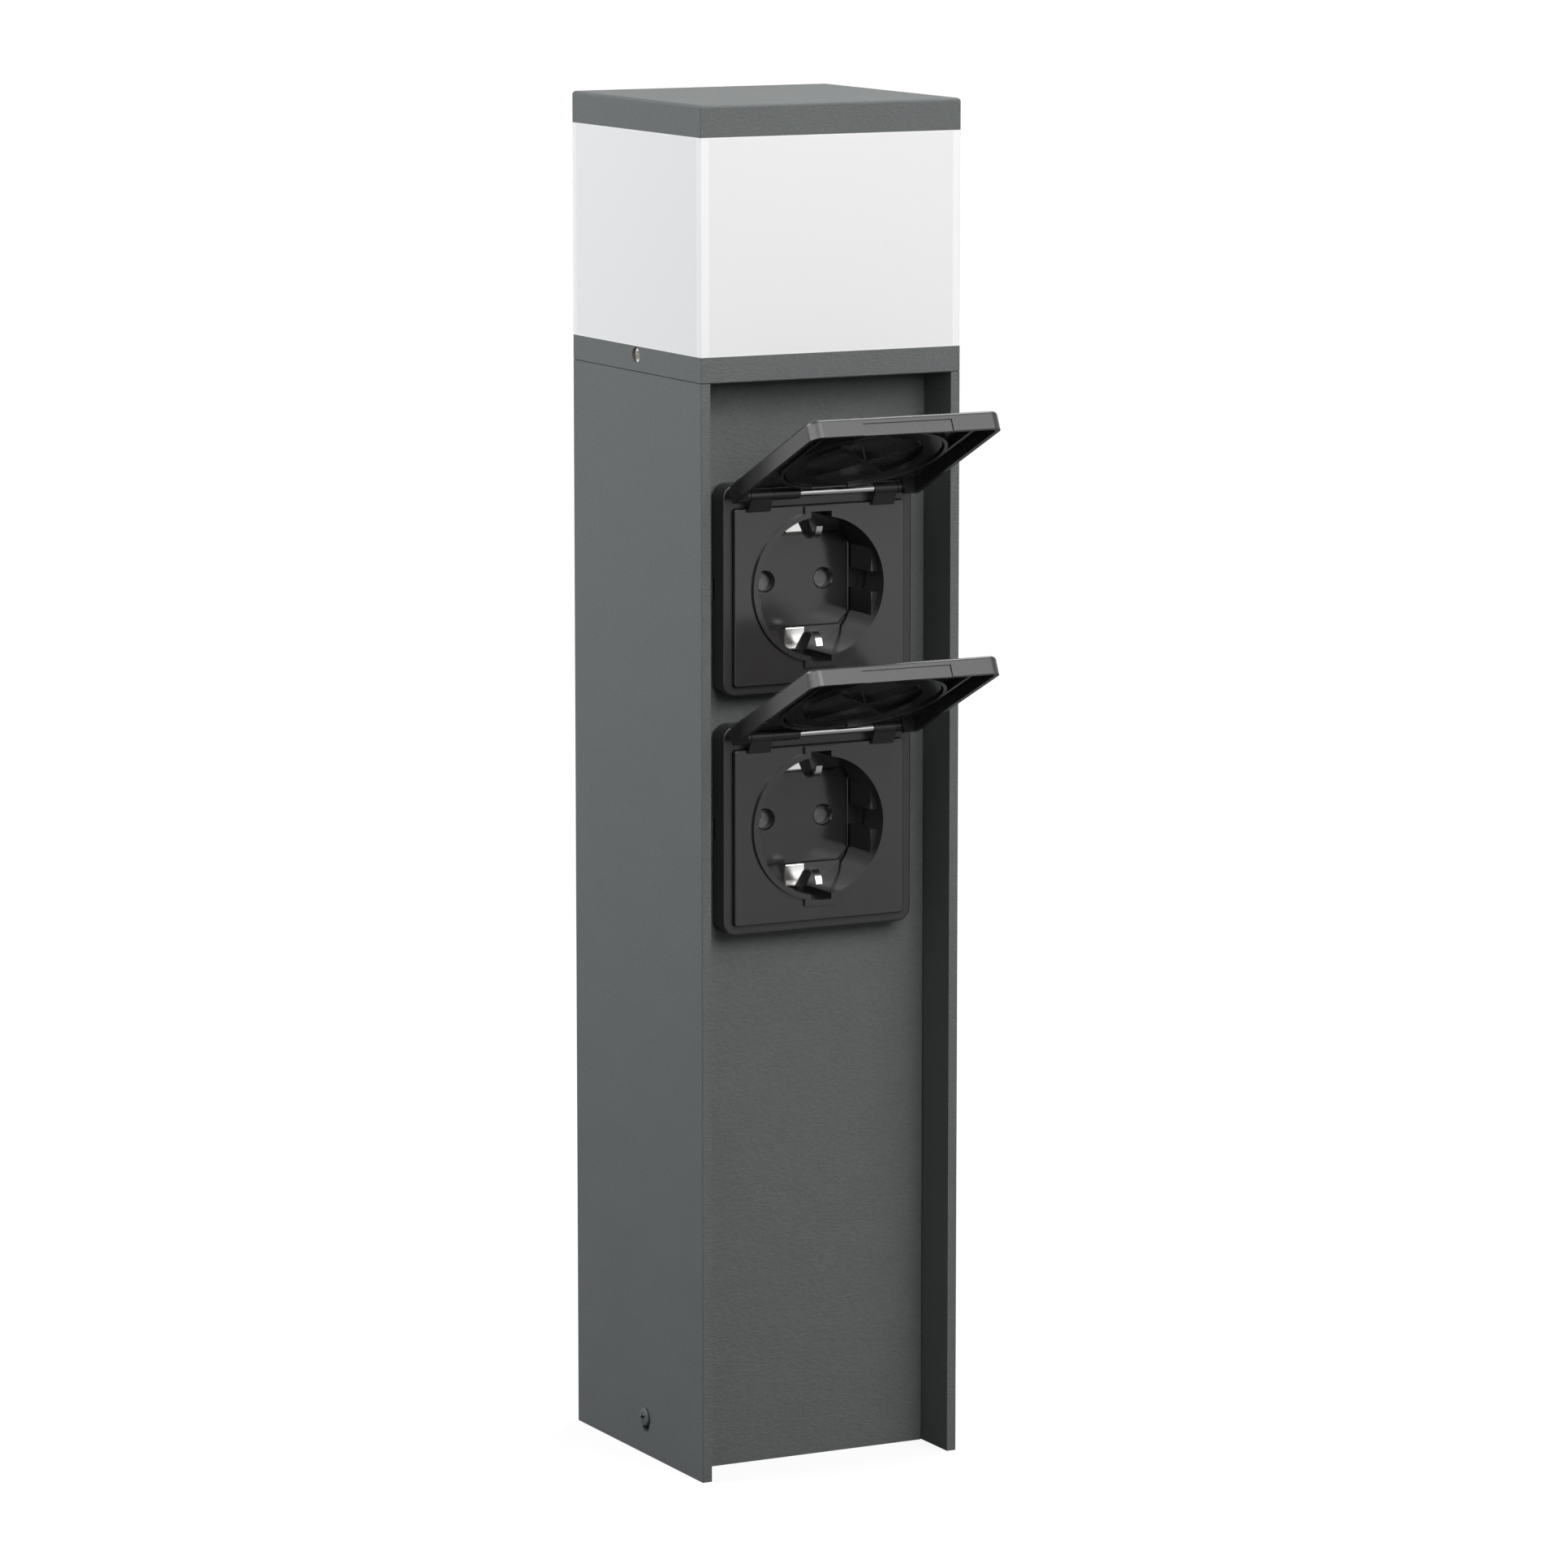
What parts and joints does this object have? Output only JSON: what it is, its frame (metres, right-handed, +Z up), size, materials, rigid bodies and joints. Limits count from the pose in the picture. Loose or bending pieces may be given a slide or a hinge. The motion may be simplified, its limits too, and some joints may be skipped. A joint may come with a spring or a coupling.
{
  "type": "bollard light with socket",
  "caption": "Square bollard light with an opal head and a recessed front panel that carries round earthed sockets under hinged covers.",
  "frame": {"origin": "on the ground, at the centre of the square of anchor holes in the foot bracket, which is the middle of the post", "axes": "+Z up along the post, +X to the right seen from the front, -Y out of the front, where the sockets are"},
  "size_m": [0.0866, 0.1312, 0.4],
  "materials": {
    "coat": "fine textured powder coat",
    "opal": "opal, satin",
    "carrier_metal": "satin",
    "zinc_steel": "zinc plated",
    "screw_steel": "satin",
    "coated_screw": "coated like the post",
    "bright_screw": "bright nickel",
    "rubber": "matt",
    "bezel_plastic": "fine grain",
    "insert_plastic": "semi-gloss",
    "lid_plastic": "fine grain",
    "pin_steel": "bright drawn",
    "clip_metal": "nickel plated spring strip",
    "brass": "bright",
    "block_plastic": "matt",
    "shutter_plastic": "grey, satin",
    "driver_case": "matt",
    "board": "white solder mask",
    "led": "phosphor resin"
  },
  "bodies": {
    "post": {"post_shell": "coat", "front_panel": "coat", "collar": "coat", "collar_screws": "screw_steel", "shade_seal": "rubber", "shade_carrier": "carrier_metal", "grub_screws": "bright_screw", "shade": "opal", "cap": "coat", "led_board": "board", "led_packages": "led", "led_driver": "driver_case", "terminal_block": "block_plastic", "terminal_screws": "screw_steel", "ground_bracket": "zinc_steel", "cable_grommet": "rubber", "foot_screws": "coated_screw", "upper_frame_gasket": "rubber", "upper_frame": "bezel_plastic", "upper_insert": "insert_plastic", "upper_earth_clip": "clip_metal", "upper_contact_block": "block_plastic", "upper_pin_contacts": "brass", "upper_mounting_plate": "zinc_steel", "upper_frame_screws": "screw_steel", "upper_hinge_pin": "pin_steel", "upper_hinge_bush": "bezel_plastic", "lower_frame_gasket": "rubber", "lower_frame": "bezel_plastic", "lower_insert": "insert_plastic", "lower_earth_clip": "clip_metal", "lower_contact_block": "block_plastic", "lower_pin_contacts": "brass", "lower_mounting_plate": "zinc_steel", "lower_frame_screws": "screw_steel", "lower_hinge_pin": "pin_steel", "lower_hinge_bush": "bezel_plastic"},
    "upper_cover": {"upper_lid": "lid_plastic", "upper_lid_gasket": "rubber"},
    "lower_cover": {"lower_lid": "lid_plastic", "lower_lid_gasket": "rubber"},
    "upper_shutter_slide": {"upper_shutter": "shutter_plastic"},
    "lower_shutter_slide": {"lower_shutter": "shutter_plastic"}
  },
  "joints": [
    {"name": "upper_hinge", "type": "hinge", "parent": "post", "child": "upper_cover", "pos_m": [0, -0.0363, 0.2878], "axis": [1, 0, 0], "range_deg": [0, 115]},
    {"name": "lower_hinge", "type": "hinge", "parent": "post", "child": "lower_cover", "pos_m": [0, -0.0363, 0.2178], "axis": [1, 0, 0], "range_deg": [0, 115]},
    {"name": "upper_shutter_slide", "type": "slide", "parent": "post", "child": "upper_shutter_slide", "axis": [0, 0, 1], "range_m": [0, 0.0066], "stiffness_N_per_m": 30, "springref_m": -0.005},
    {"name": "lower_shutter_slide", "type": "slide", "parent": "post", "child": "lower_shutter_slide", "axis": [0, 0, 1], "range_m": [0, 0.0066], "stiffness_N_per_m": 30, "springref_m": -0.005}
  ]
}
